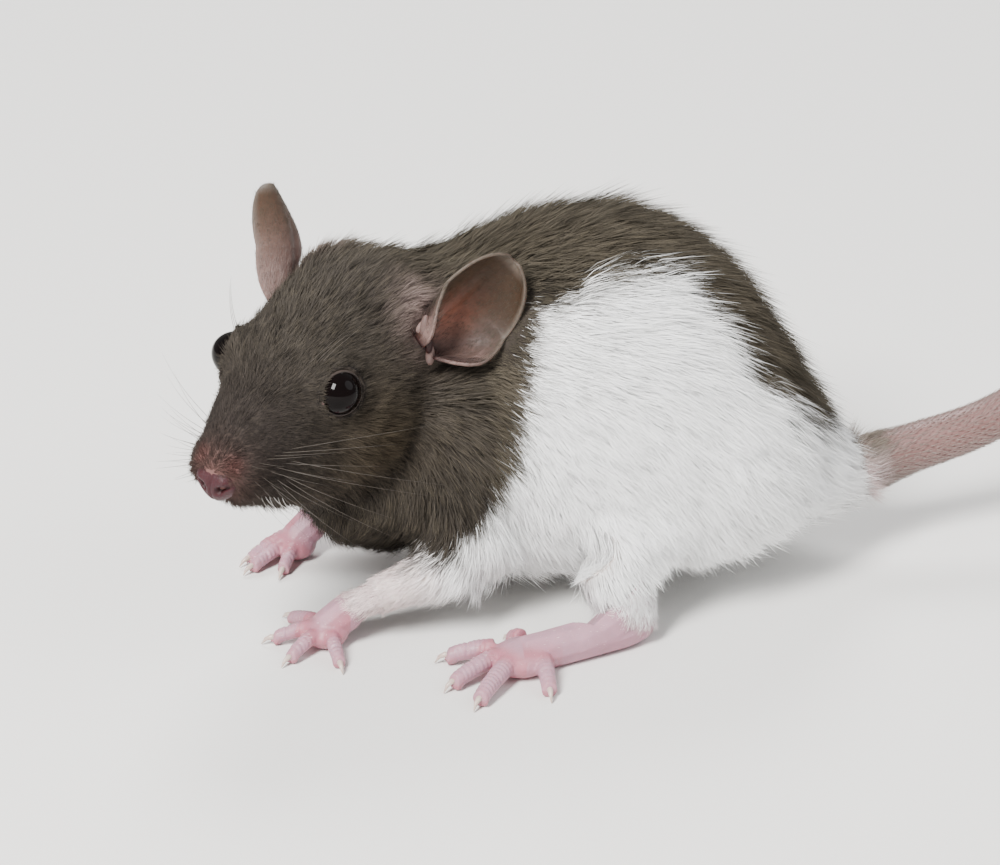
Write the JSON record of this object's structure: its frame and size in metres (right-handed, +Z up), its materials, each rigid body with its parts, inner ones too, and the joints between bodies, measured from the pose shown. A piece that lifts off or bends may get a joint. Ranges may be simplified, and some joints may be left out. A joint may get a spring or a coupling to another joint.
{
  "type": "pet rat",
  "caption": "Life-size still model of a young hooded pet rat: it crouches on its feet with its head turned to its left, ears cupped, and its long tail laid out behind.",
  "frame": {"origin": "middle of the whole animal's bounding box, at floor level", "axes": "+X towards the tail's tip, +Y towards the rat's own right side, +Z up; the rump faces +X and the shoulders face -X"},
  "size_m": [0.206, 0.0872, 0.0634],
  "materials": {
    "hood_coat": "short grey-brown fur with lighter ticking",
    "white_coat": "soft white fur with a grey-brown band along the back",
    "bare_skin": "thin pink skin with fine pale hairs",
    "tail_skin": "mauve-pink skin with rings of fine scales and short hairs",
    "eye": "wet and glossy, almost black"
  },
  "bodies": {
    "root": {"head": "hood_coat", "neck": "hood_coat", "torso": "white_coat", "ear_left": "bare_skin", "ear_right": "bare_skin", "eye_left": "eye", "eye_right": "eye", "upper_arm_left": "white_coat", "upper_arm_right": "white_coat", "forearm_left": "white_coat", "forearm_right": "white_coat", "forefoot_left": "bare_skin", "forefoot_right": "bare_skin", "thigh_left": "white_coat", "thigh_right": "white_coat", "shank_left": "white_coat", "shank_right": "white_coat", "hind_foot_left": "bare_skin", "hind_foot_right": "bare_skin", "tail_1": "tail_skin", "tail_2": "tail_skin", "tail_3": "tail_skin", "tail_4": "tail_skin"}
  },
  "joints": []
}
